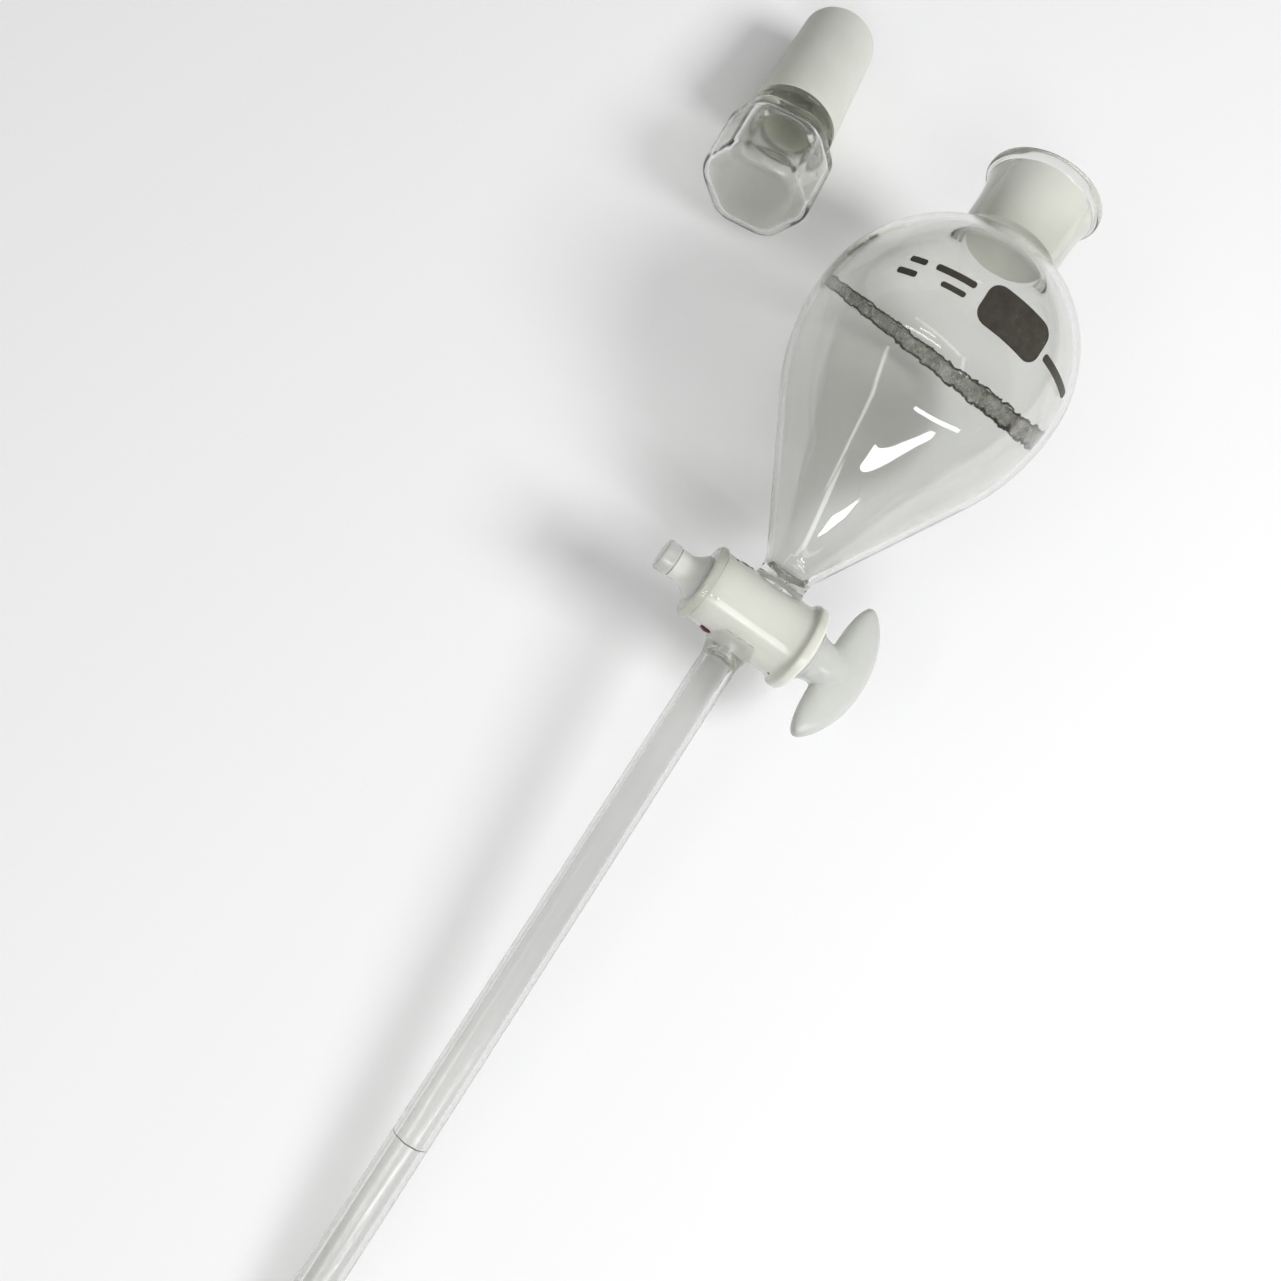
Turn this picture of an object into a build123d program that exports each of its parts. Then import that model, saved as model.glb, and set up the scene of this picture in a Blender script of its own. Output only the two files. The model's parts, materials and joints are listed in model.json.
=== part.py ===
from build123d import *
from math import asin, atan, cos, radians, sin, sqrt, tan
import os

# A 125 mL pear-shaped separatory funnel, lying on a bench with its stopper beside it.
# Millimetres. +Z is up from the bench, +X runs along the funnel towards its mouth, and the
# stopcock handle points towards -Y. The funnel rests on its bulb and on the end of its stem.

os.makedirs("parts", exist_ok=True)

# ---- Driving dimensions ---------------------------------------------------------------------
# Stations along the funnel axis, counted from the axis of the stopcock.
EQUATOR = 72.0              # widest ring of the bulb
MOUTH = 121.0               # top of the lip
STEM_END = 184.0            # longest point of the bevelled stem tip, on the other side

BULB_R = 31.5
WALL = 1.5                  # blown glass
CONE_HALF_ANGLE = 29.1      # degrees
CONE_SHOULDER_R = 50.0      # long arc between the widest ring and the straight cone

NECK_R = 12.2
NECK_FILLET = 4.0
LIP_R = 14.4
LIP_HEIGHT = 2.4
LIP_TOP_SOFTNESS = 1.2
LIP_FOOT_SOFTNESS = 0.9
FLARE_LENGTH = 8.5          # the neck widens over this length up to the lip
FLARE_R = 13.4
SOCKET_MOUTH_R = 11.0       # ground socket, 22 mm at its mouth
TAPER = 0.05                # change of radius per millimetre of a 1:10 ground joint

PORT_OFFSET = 1.0           # the inlet and outlet of the stopcock are staggered by twice this
BULB_LEAN = 1.4             # degrees; the bulb leans from the line of the stem, towards the handle
PORT_R = 1.0
INLET_R = 5.7
INLET_HEIGHT = 15.0         # where the inlet arm meets the cone
INLET_SWELL = 5.0           # height of the arc from the inlet arm into the cone
INLET_PORT_HEIGHT = 10.5    # where the bore of the inlet arm has narrowed to the port

BARREL_SMALL_END = -14.5    # along the barrel, positive towards the handle
BARREL_LARGE_END = 13.5
BARREL_SMALL_R = 8.35
BARREL_LARGE_R = 9.15
RIM_R = 10.5
RIM_WIDTH = 3.0
RIM_SOFTNESS = 1.0
BEAD_R = 9.0
BEAD_WIDTH = 1.8
BEAD_SOFTNESS = 0.5

PLUG_MID_R = 6.3            # radius of the ground plug where the ports cross it
PLUG_CLEARANCE = 0.04       # radial, in the barrel
PLUG_SMALL_END = -15.6
PLUG_LARGE_END = 14.6
SHANK_R = 3.4
SHANK_HOLLOW_LENGTH = 3.2   # the plug narrows to its shank over this length
SHANK_HOLLOW_MID = (1.2, 4.15)
BUTTON_R = 3.7
BUTTON_SOFTNESS = 0.6
BUTTON_START = -21.4
BUTTON_END = -24.8
HANDLE_NECK_R = 5.2
HANDLE_NECK_MID = (1.9, 5.7)
HANDLE_FOOT = 6.4           # half length of the crossbar's flat foot on its neck
HANDLE_START = 19.4
HANDLE_CREST = 30.2
HANDLE_HALF_LENGTH = 17.0
HANDLE_TIP_R = 2.75
HANDLE_TIP_CENTRE = 22.4
HANDLE_THICKNESS = 7.6
HANDLE_SOFTNESS = 2.2

STEM_R = 4.35
STEM_BORE_R = 3.0
OUTLET_R = 5.6              # outlet arm where it leaves the barrel
OUTLET_HEIGHT = 11.5        # where the outlet arm has narrowed to the stem
OUTLET_NARROWING = 2.6
THROAT_LENGTH = 2.2         # the outlet's bore widens to the stem's over this length
TIP_LENGTH = 22.0           # end piece that holds the bevel
BEVEL = 45.0                # degrees

STOPPER_LARGE_R = 11.5
STOPPER_LENGTH = 31.0       # ground length
STOPPER_WALL = 1.6
STOPPER_DOME = 3.5          # height of the rounded, closed end
WAIST_LENGTH = 5.0
WAIST_R = 9.0
WAIST_FOOT_R = 10.9
WAIST_BORE_R = 7.0
HEAD_FLATS = 27.0           # across the flats of the six-sided head
HEAD_WALL = 1.8
HEAD_LENGTH = 21.0
HEAD_CORNER_R = 7.0
HEAD_TOP_R = 2.2            # soft edge of the head towards the waist
CAP_HEIGHT = 6.5            # closed end of the head
CAP_EDGE_R = 5.0

ENAMEL = 0.15               # thickness of the fired-on marks
SKIN_ANGLE = 35.0           # degrees; the marks lie within this angle of the bulb's widest ring

# ---- How it lies ----------------------------------------------------------------------------
ROLL = 12.0                 # the handle side hangs lower than the other by this angle
BENCH_X = 14.76             # stopcock, from the middle of the whole layout
BENCH_Y = -19.15
STOPPER_X = 117.9           # shoulder of the stopper, from the stopcock
STOPPER_Y = 58.8
STOPPER_TURN = 6.0          # the stopper isn't quite parallel to the funnel
STOPPER_CLEARANCE = 0.05    # over the bench
SETTLING_ROUNDS = 20        # for the slope at which the funnel rests

roll = radians(ROLL)
lean = radians(BULB_LEAN)


def bulb_height(bulb_angle):
    """Height of the bulb's middle over the bench, which it touches on the long arc of its cone."""
    return CONE_SHOULDER_R - (CONE_SHOULDER_R - BULB_R) * cos(bulb_angle)


# The stem's slope and the bulb's depend on each other, and settle after a few rounds.
tilt = 0.0
for _ in range(SETTLING_ROUNDS):
    bulb_angle = asin(sin(tilt) * cos(lean) - sin(roll) * cos(tilt) * sin(lean))
    rise = bulb_height(bulb_angle) - STEM_R * cos(tilt)
    sideways = (2 * PORT_OFFSET + EQUATOR * sin(lean)) * sin(roll) * cos(tilt)
    tilt = asin((rise + sideways) / (STEM_END + EQUATOR * cos(lean)))

along = Vector(cos(tilt), 0, sin(tilt))
square_up = Vector(-sin(tilt), 0, cos(tilt))
towards_handle = Vector(0, -1, 0) * cos(roll) - square_up * sin(roll)
stopcock_height = STEM_END * sin(tilt) + (STEM_R - PORT_OFFSET * sin(roll)) * cos(tilt)

# Local Z runs along the stem towards the bulb, local X along the stopcock to its handle.
STOPCOCK = Plane(Vector(BENCH_X, BENCH_Y, stopcock_height), x_dir=towards_handle, z_dir=along)
STEM = Plane(STOPCOCK.from_local_coords((-PORT_OFFSET, 0, 0)), x_dir=towards_handle, z_dir=along)
BULB = Plane(STOPCOCK.from_local_coords((PORT_OFFSET, 0, 0)),
             x_dir=towards_handle * cos(lean) - along * sin(lean),
             z_dir=along * cos(lean) + towards_handle * sin(lean))


def half_section(base):
    """Plane to draw a turned profile on: local X is the radius, local Y runs along the axis."""
    return Plane(base.origin, x_dir=base.x_dir, z_dir=-base.y_dir)


def centreline(base):
    return Axis(base.origin, base.z_dir)


BULB_SECTION = half_section(BULB)
STEM_SECTION = half_section(STEM)
# On this plane local X runs along the barrel and local Y is the radius.
BARREL_SECTION = half_section(STOPCOCK)
BARREL_AXIS = Axis(STOPCOCK.origin, STOPCOCK.x_dir)


def barrel_outer(x):
    share = (x - BARREL_SMALL_END) / (BARREL_LARGE_END - BARREL_SMALL_END)
    return BARREL_SMALL_R + share * (BARREL_LARGE_R - BARREL_SMALL_R)


def plug_radius(x):
    return PLUG_MID_R + TAPER * x


def socket_radius(z):
    return SOCKET_MOUTH_R - TAPER * (MOUTH - z)


def finish(piece, name):
    piece.part.label = name
    export_step(piece.part, f"parts/{name}.step")


# ---- Neck -----------------------------------------------------------------------------------
# The neck tube starts where its outside meets the inner wall of the bulb.
neck_foot = EQUATOR + sqrt((BULB_R - WALL) ** 2 - NECK_R ** 2)
lip_foot = MOUTH - LIP_HEIGHT
flare_start = lip_foot - FLARE_LENGTH

with BuildPart() as neck_socket:
    with BuildSketch(BULB_SECTION):
        with BuildLine():
            bore = Line((socket_radius(lip_foot), lip_foot), (socket_radius(neck_foot), neck_foot))
            foot = Line(bore @ 1, (NECK_R, neck_foot))
            side = Line(foot @ 1, (NECK_R, flare_start))
            flare = TangentArc(side @ 1, (FLARE_R, lip_foot), tangent=side % 1)
            Line(flare @ 1, bore @ 0)
        make_face()
    revolve(axis=centreline(BULB))
finish(neck_socket, "neck_socket")

with BuildPart() as neck_lip:
    with BuildSketch(BULB_SECTION) as bead:
        Polygon((socket_radius(lip_foot), lip_foot), (LIP_R, lip_foot),
                (LIP_R, MOUTH), (socket_radius(lip_foot), MOUTH), align=None)
        top_corners = bead.vertices().group_by(Axis(STOPCOCK.origin, STOPCOCK.z_dir))[-1]
        fillet(top_corners, radius=LIP_TOP_SOFTNESS)
        foot_corners = bead.vertices().group_by(Axis(STOPCOCK.origin, STOPCOCK.z_dir))[0]
        outer_foot = foot_corners.sort_by(Axis(STOPCOCK.origin, STOPCOCK.x_dir))[-1]
        fillet(outer_foot, radius=LIP_FOOT_SOFTNESS)
    revolve(axis=centreline(BULB))
finish(neck_lip, "neck_lip")

# ---- Bulb -----------------------------------------------------------------------------------
# Fillet between the round dome and the neck: one arc that touches both.
fillet_centre_z = EQUATOR + sqrt((BULB_R + NECK_FILLET) ** 2 - (NECK_R + NECK_FILLET) ** 2)
fillet_share = BULB_R / (BULB_R + NECK_FILLET)
fillet_foot = ((NECK_R + NECK_FILLET) * fillet_share,
               EQUATOR + (fillet_centre_z - EQUATOR) * fillet_share)
INNER_R = BULB_R - WALL

with BuildPart() as bulb_dome:
    with BuildSketch(BULB_SECTION):
        with BuildLine():
            outside = RadiusArc((BULB_R, EQUATOR), fillet_foot, -BULB_R)
            sweep_up = RadiusArc(outside @ 1, (NECK_R, fillet_centre_z), NECK_FILLET)
            step = Line(sweep_up @ 1, (NECK_R, neck_foot))
            inside = RadiusArc(step @ 1, (INNER_R, EQUATOR), INNER_R)
            Line(inside @ 1, outside @ 0)
        make_face()
    revolve(axis=centreline(BULB))
finish(bulb_dome, "bulb_dome")

# The cone's outline is a long arc from the widest ring, then a straight flank down to the
# inlet arm. The inside is the same outline, one wall further in.
cone_angle = radians(CONE_HALF_ANGLE)
shoulder_centre_r = BULB_R - CONE_SHOULDER_R
flank_top = (shoulder_centre_r + CONE_SHOULDER_R * cos(cone_angle),
             EQUATOR - CONE_SHOULDER_R * sin(cone_angle))


def flank_r(z):
    return flank_top[0] - (flank_top[1] - z) * tan(cone_angle)


with BuildPart() as bulb_cone:
    with BuildSketch(BULB_SECTION):
        with BuildLine():
            shoulder = RadiusArc((BULB_R, EQUATOR), flank_top, CONE_SHOULDER_R)
            flank = Line(shoulder @ 1, (flank_r(INLET_HEIGHT), INLET_HEIGHT))
            ledge = Line(flank @ 1, (flank_r(INLET_HEIGHT) - WALL / cos(cone_angle), INLET_HEIGHT))
            inner_top = (flank_top[0] - WALL * cos(cone_angle), flank_top[1] + WALL * sin(cone_angle))
            inner_flank = Line(ledge @ 1, inner_top)
            inner_shoulder = RadiusArc(inner_flank @ 1, (INNER_R, EQUATOR), -(CONE_SHOULDER_R - WALL))
            Line(inner_shoulder @ 1, shoulder @ 0)
        make_face()
    revolve(axis=centreline(BULB))
finish(bulb_cone, "bulb_cone")

# ---- Inlet arm, barrel and outlet arm -------------------------------------------------------
arm_top_r = flank_r(INLET_HEIGHT)
arm_top_bore = arm_top_r - WALL / cos(cone_angle)

with BuildPart() as inlet_arm:
    with BuildSketch(BULB_SECTION):
        with BuildLine():
            skirt = Line((PORT_R, 0), (INLET_R, 0))
            wall_line = Line(skirt @ 1, (INLET_R, INLET_HEIGHT - INLET_SWELL))
            swell = TangentArc(wall_line @ 1, (arm_top_r, INLET_HEIGHT), tangent=wall_line % 1)
            rim = Line(swell @ 1, (arm_top_bore, INLET_HEIGHT))
            narrowing = Line(rim @ 1, (PORT_R, INLET_PORT_HEIGHT))
            Line(narrowing @ 1, skirt @ 0)
        make_face()
    revolve(axis=centreline(BULB))
    with BuildSketch(BARREL_SECTION):
        Polygon((BARREL_SMALL_END, 0), (BARREL_SMALL_END, BARREL_SMALL_R),
                (BARREL_LARGE_END, BARREL_LARGE_R), (BARREL_LARGE_END, 0), align=None)
    revolve(axis=BARREL_AXIS, mode=Mode.SUBTRACT)
finish(inlet_arm, "inlet_arm")

with BuildPart() as outlet_arm:
    with BuildSketch(STEM_SECTION):
        with BuildLine():
            crown = Line((PORT_R, 0), (OUTLET_R, 0))
            collar = Line(crown @ 1, (OUTLET_R, -OUTLET_HEIGHT + OUTLET_NARROWING))
            narrow = TangentArc((STEM_R, -OUTLET_HEIGHT), collar @ 1, tangent=(0, 1))
            heel = Line(narrow @ 0, (STEM_BORE_R, -OUTLET_HEIGHT))
            throat = Line(heel @ 1, (PORT_R, -OUTLET_HEIGHT + THROAT_LENGTH))
            Line(throat @ 1, crown @ 0)
        make_face()
    revolve(axis=centreline(STEM))
    with BuildSketch(BARREL_SECTION):
        Polygon((BARREL_SMALL_END, 0), (BARREL_SMALL_END, BARREL_SMALL_R),
                (BARREL_LARGE_END, BARREL_LARGE_R), (BARREL_LARGE_END, 0), align=None)
    revolve(axis=BARREL_AXIS, mode=Mode.SUBTRACT)
finish(outlet_arm, "outlet_arm")

with BuildPart() as barrel:
    with BuildSketch(BARREL_SECTION):
        Polygon((BARREL_SMALL_END, plug_radius(BARREL_SMALL_END) + PLUG_CLEARANCE),
                (BARREL_SMALL_END, BARREL_SMALL_R),
                (BARREL_LARGE_END, BARREL_LARGE_R),
                (BARREL_LARGE_END, plug_radius(BARREL_LARGE_END) + PLUG_CLEARANCE), align=None)
    revolve(axis=BARREL_AXIS)
    with BuildSketch(BULB):
        Circle(PORT_R)
    extrude(amount=RIM_R, mode=Mode.SUBTRACT)
    with BuildSketch(STEM):
        Circle(PORT_R)
    extrude(amount=-RIM_R, mode=Mode.SUBTRACT)
finish(barrel, "stopcock_barrel")


def barrel_ring(start, end, radius, soft, name):
    """A rounded ring fused round the barrel between two stations."""
    with BuildPart() as ring:
        with BuildSketch(BARREL_SECTION):
            Polygon((start, barrel_outer(start)), (start, radius),
                    (end, radius), (end, barrel_outer(end)), align=None)
        revolve(axis=BARREL_AXIS)
        widest_edges = ring.edges().filter_by(GeomType.CIRCLE).group_by(SortBy.RADIUS)[-1]
        fillet(widest_edges, radius=soft)
    finish(ring, name)


barrel_ring(BARREL_LARGE_END - RIM_WIDTH, BARREL_LARGE_END, RIM_R, RIM_SOFTNESS, "barrel_rim")
barrel_ring(BARREL_SMALL_END, BARREL_SMALL_END + BEAD_WIDTH, BEAD_R, BEAD_SOFTNESS,
            "barrel_bead")

# ---- Stem -----------------------------------------------------------------------------------
tip_start = STEM_END - TIP_LENGTH

with BuildPart() as stem_tube:
    with BuildSketch(STEM.offset(-OUTLET_HEIGHT)):
        Circle(STEM_R)
        Circle(STEM_BORE_R, mode=Mode.SUBTRACT)
    extrude(amount=-(tip_start - OUTLET_HEIGHT))
finish(stem_tube, "stem_tube")

# The bevel leaves the tip longest on the side that rests on the bench.
bevel_normal = along * cos(radians(BEVEL)) - square_up * sin(radians(BEVEL))
longest_point = STEM.origin - along * STEM_END - square_up * STEM_R

with BuildPart() as stem_tip:
    with BuildSketch(STEM.offset(-tip_start)):
        Circle(STEM_R)
        Circle(STEM_BORE_R, mode=Mode.SUBTRACT)
    extrude(amount=-TIP_LENGTH)
    split(bisect_by=Plane(longest_point, z_dir=bevel_normal), keep=Keep.TOP)
finish(stem_tip, "stem_tip")

# ---- Stopcock plug --------------------------------------------------------------------------
bore_plane = Plane(STOPCOCK.origin, x_dir=STOPCOCK.y_dir,
                   z_dir=STOPCOCK.z_dir * PLUG_MID_R + STOPCOCK.x_dir * PORT_OFFSET)

with BuildPart() as plug_cone:
    with BuildSketch(BARREL_SECTION):
        Polygon((PLUG_SMALL_END, 0), (PLUG_SMALL_END, plug_radius(PLUG_SMALL_END)),
                (PLUG_LARGE_END, plug_radius(PLUG_LARGE_END)), (PLUG_LARGE_END, 0), align=None)
    revolve(axis=BARREL_AXIS)
    with BuildSketch(bore_plane):
        Circle(PORT_R)
    extrude(amount=BARREL_SMALL_R, both=True, mode=Mode.SUBTRACT)
finish(plug_cone, "plug_cone")

with BuildPart() as plug_shank:
    with BuildSketch(BARREL_SECTION):
        with BuildLine():
            root = Line((PLUG_SMALL_END, 0), (PLUG_SMALL_END, plug_radius(PLUG_SMALL_END)))
            hollow = ThreePointArc(root @ 1, (PLUG_SMALL_END - SHANK_HOLLOW_MID[0], SHANK_HOLLOW_MID[1]),
                                   (PLUG_SMALL_END - SHANK_HOLLOW_LENGTH, SHANK_R))
            run = Line(hollow @ 1, (BUTTON_START, SHANK_R))
            end = Line(run @ 1, (BUTTON_START, 0))
            Line(end @ 1, root @ 0)
        make_face()
    revolve(axis=BARREL_AXIS)
finish(plug_shank, "plug_shank")

with BuildPart() as plug_button:
    with BuildSketch(BARREL_SECTION):
        Polygon((BUTTON_START, 0), (BUTTON_START, BUTTON_R),
                (BUTTON_END, BUTTON_R), (BUTTON_END, 0), align=None)
    revolve(axis=BARREL_AXIS)
    fillet(plug_button.edges().filter_by(GeomType.CIRCLE), radius=BUTTON_SOFTNESS)
finish(plug_button, "plug_button")

with BuildPart() as plug_neck:
    with BuildSketch(BARREL_SECTION):
        with BuildLine():
            seat = Line((PLUG_LARGE_END, 0), (PLUG_LARGE_END, plug_radius(PLUG_LARGE_END)))
            waist = ThreePointArc(seat @ 1, (PLUG_LARGE_END + HANDLE_NECK_MID[0], HANDLE_NECK_MID[1]),
                                  (HANDLE_START, HANDLE_NECK_R))
            top = Line(waist @ 1, (HANDLE_START, 0))
            Line(top @ 1, seat @ 0)
        make_face()
    revolve(axis=BARREL_AXIS)
finish(plug_neck, "plug_neck")

# A bowed crossbar. At rest it lies along the stem, which is the open position.
tip_z = HANDLE_HALF_LENGTH - HANDLE_TIP_R
tip_diagonal = HANDLE_TIP_R * sin(radians(45))
tip_outer_x = HANDLE_TIP_CENTRE + tip_diagonal
tip_outer_z = tip_z + tip_diagonal
tip_end_x = HANDLE_TIP_CENTRE - HANDLE_TIP_R / 3
tip_inner_x = HANDLE_TIP_CENTRE - HANDLE_TIP_R

with BuildPart() as plug_handle:
    with BuildSketch(BARREL_SECTION):
        with BuildLine():
            crest = ThreePointArc((tip_outer_x, tip_outer_z), (HANDLE_CREST, 0), (tip_outer_x, -tip_outer_z))
            lower_tip = ThreePointArc(crest @ 1, (tip_end_x, -HANDLE_HALF_LENGTH), (tip_inner_x, -tip_z))
            lower_flank = Line(lower_tip @ 1, (HANDLE_START, -HANDLE_FOOT))
            foot = Line(lower_flank @ 1, (HANDLE_START, HANDLE_FOOT))
            upper_flank = Line(foot @ 1, (tip_inner_x, tip_z))
            ThreePointArc(upper_flank @ 1, (tip_end_x, HANDLE_HALF_LENGTH), crest @ 0)
        make_face()
    extrude(amount=HANDLE_THICKNESS / 2, both=True)
    broad_faces = plug_handle.faces().filter_by(Axis(STOPCOCK.origin, STOPCOCK.y_dir))
    foot_x = HANDLE_START + 0.01
    long_edges = broad_faces.edges().filter_by(
        lambda edge: STOPCOCK.to_local_coords(edge @ 0.5).X > foot_x)
    fillet(long_edges, radius=HANDLE_SOFTNESS)
finish(plug_handle, "plug_handle")

# ---- Enamel marks -----------------------------------------------------------------------------
# Each mark is a thin skin that follows the outside of the bulb round its widest ring.
bulb_centre = BULB.from_local_coords((0, 0, EQUATOR))
bulb_top = (Vector(0, 0, 1) - BULB.z_dir * BULB.z_dir.Z).normalized()
handle_side = BULB.z_dir.cross(bulb_top)
dome_angle = radians(SKIN_ANGLE)
long_arc_angle = radians(SKIN_ANGLE / 2)


def skin_edge(extra):
    """The two ends of the bulb's outline, grown by extra, above and below the widest ring."""
    dome_r = BULB_R + extra
    long_arc_r = CONE_SHOULDER_R + extra
    upper = (dome_r * cos(dome_angle), EQUATOR + dome_r * sin(dome_angle))
    lower = (shoulder_centre_r + long_arc_r * cos(long_arc_angle), EQUATOR - long_arc_r * sin(long_arc_angle))
    return upper, lower


def enamel_mark(name, lift, side, length, height, corner):
    """A rounded bar: its centre is lift degrees above the widest ring and side degrees round
    from the top of the bulb, towards the handle."""
    round_angle = radians(side)
    lift_angle = radians(lift)
    level = bulb_top * cos(round_angle) + handle_side * sin(round_angle)
    outward = BULB.z_dir * sin(lift_angle) + level * cos(lift_angle)
    round_the_bulb = handle_side * cos(round_angle) - bulb_top * sin(round_angle)
    outer_top, outer_low = skin_edge(ENAMEL)
    inner_top, inner_low = skin_edge(0)
    with BuildPart() as mark:
        with BuildSketch(BULB_SECTION):
            with BuildLine():
                outer_dome = RadiusArc((BULB_R + ENAMEL, EQUATOR), outer_top, -(BULB_R + ENAMEL))
                top = Line(outer_dome @ 1, inner_top)
                inner_dome = RadiusArc(top @ 1, (BULB_R, EQUATOR), BULB_R)
                inner_cone = RadiusArc(inner_dome @ 1, inner_low, CONE_SHOULDER_R)
                foot = Line(inner_cone @ 1, outer_low)
                RadiusArc(foot @ 1, outer_dome @ 0, -(CONE_SHOULDER_R + ENAMEL))
            make_face()
        revolve(axis=centreline(BULB))
        with BuildSketch(Plane(bulb_centre, x_dir=round_the_bulb, z_dir=outward)):
            RectangleRounded(length, height, corner)
        extrude(amount=2 * BULB_R, mode=Mode.INTERSECT)
    finish(mark, name)


enamel_mark("enamel_patch", 3.5, 17.0, 16.5, 9.6, 3.0)
enamel_mark("enamel_bar_upper", 5.5, -11.0, 9.0, 1.5, 0.6)
enamel_mark("enamel_bar_lower", 0.0, -9.2, 5.5, 1.2, 0.5)
enamel_mark("enamel_dash_upper", 5.2, -26.5, 3.8, 1.4, 0.5)
enamel_mark("enamel_dash_lower", -0.8, -28.0, 4.4, 1.4, 0.5)
enamel_mark("enamel_bar_side", 2.5, 46.5, 13.0, 1.8, 0.7)

# ---- Stopper --------------------------------------------------------------------------------
# It rests on a flat of its head, close to the waist, and on its rounded end.
tip_r = STOPPER_LARGE_R - TAPER * STOPPER_LENGTH
head_rest = WAIST_LENGTH + HEAD_TOP_R
dip = atan((HEAD_FLATS / 2 - tip_r) / (STOPPER_LENGTH + head_rest))
shoulder_height = HEAD_FLATS / 2 * cos(dip) - head_rest * sin(dip) + STOPPER_CLEARANCE

heading = radians(STOPPER_TURN)
level_way = Vector(cos(heading), sin(heading), 0)
plug_way = level_way * cos(dip) - Vector(0, 0, sin(dip))
# Local Z runs towards the ground end, local X up from the bench.
SHOULDER = Plane(Vector(BENCH_X + STOPPER_X, BENCH_Y + STOPPER_Y, shoulder_height),
                 x_dir=level_way * sin(dip) + Vector(0, 0, cos(dip)), z_dir=plug_way)
STOPPER_AXIS = centreline(SHOULDER)
STOPPER_SECTION = half_section(SHOULDER)

with BuildPart() as stopper_ground:
    with BuildSketch(STOPPER_SECTION):
        Polygon((STOPPER_LARGE_R - STOPPER_WALL, 0), (STOPPER_LARGE_R, 0), (tip_r, STOPPER_LENGTH),
                (tip_r - STOPPER_WALL, STOPPER_LENGTH), align=None)
    revolve(axis=STOPPER_AXIS)
finish(stopper_ground, "stopper_ground")

with BuildPart() as stopper_tip:
    with BuildSketch(STOPPER_SECTION):
        with BuildLine():
            crown_z = STOPPER_LENGTH + STOPPER_DOME
            rim_line = Line((tip_r - STOPPER_WALL, STOPPER_LENGTH), (tip_r, STOPPER_LENGTH))
            skin = Spline(rim_line @ 1, (0, crown_z), tangents=((0, 1), (-1, 0)))
            middle = Line(skin @ 1, (0, crown_z - STOPPER_WALL))
            Spline(middle @ 1, rim_line @ 0, tangents=((1, 0), (0, -1)))
        make_face()
    revolve(axis=STOPPER_AXIS)
finish(stopper_tip, "stopper_tip")

with BuildPart() as stopper_waist:
    with BuildSketch(STOPPER_SECTION):
        with BuildLine():
            upper = Line((WAIST_BORE_R, 0), (STOPPER_LARGE_R, 0))
            groove = ThreePointArc(upper @ 1, (WAIST_R, -WAIST_LENGTH / 2), (WAIST_FOOT_R, -WAIST_LENGTH))
            lower = Line(groove @ 1, (WAIST_BORE_R, -WAIST_LENGTH))
            Line(lower @ 1, upper @ 0)
        make_face()
    revolve(axis=STOPPER_AXIS)
finish(stopper_waist, "stopper_waist")

# Outline and hollow of the head: rounded hexagons, with a flat towards the bench.
cap_start = WAIST_LENGTH + HEAD_LENGTH - CAP_HEIGHT

with BuildPart() as head_hollow:
    with BuildSketch(SHOULDER.offset(-WAIST_LENGTH - HEAD_WALL)):
        RegularPolygon(HEAD_FLATS / 2 - HEAD_WALL, 6, major_radius=False, rotation=30)
    extrude(amount=-(HEAD_LENGTH - 2 * HEAD_WALL))
    fillet(head_hollow.edges().filter_by(STOPPER_AXIS), radius=HEAD_CORNER_R - HEAD_WALL)
    fillet(head_hollow.faces().sort_by(STOPPER_AXIS)[0].edges(), radius=CAP_EDGE_R - HEAD_WALL)
    fillet(head_hollow.faces().sort_by(STOPPER_AXIS)[-1].edges(), radius=HEAD_TOP_R)

with BuildPart() as stopper_head:
    with BuildSketch(SHOULDER.offset(-WAIST_LENGTH)):
        RegularPolygon(HEAD_FLATS / 2, 6, major_radius=False, rotation=30)
    extrude(amount=-(HEAD_LENGTH - CAP_HEIGHT))
    fillet(stopper_head.edges().filter_by(STOPPER_AXIS), radius=HEAD_CORNER_R)
    fillet(stopper_head.faces().sort_by(STOPPER_AXIS)[-1].edges(), radius=HEAD_TOP_R)
    add(head_hollow.part, mode=Mode.SUBTRACT)
    with BuildSketch(SHOULDER.offset(-WAIST_LENGTH)):
        Circle(WAIST_BORE_R)
    extrude(amount=-2 * HEAD_WALL, mode=Mode.SUBTRACT)
finish(stopper_head, "stopper_head")

with BuildPart() as stopper_cap:
    with BuildSketch(SHOULDER.offset(-cap_start)):
        RegularPolygon(HEAD_FLATS / 2, 6, major_radius=False, rotation=30)
    extrude(amount=-CAP_HEIGHT)
    fillet(stopper_cap.edges().filter_by(STOPPER_AXIS), radius=HEAD_CORNER_R)
    fillet(stopper_cap.faces().sort_by(STOPPER_AXIS)[0].edges(), radius=CAP_EDGE_R)
    add(head_hollow.part, mode=Mode.SUBTRACT)
finish(stopper_cap, "stopper_cap")
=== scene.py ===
import json
from math import acos, atan, atan2, cos, pi, radians, sin, sqrt, tan

import bmesh
import bpy
from mathutils import Matrix, Vector


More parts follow.
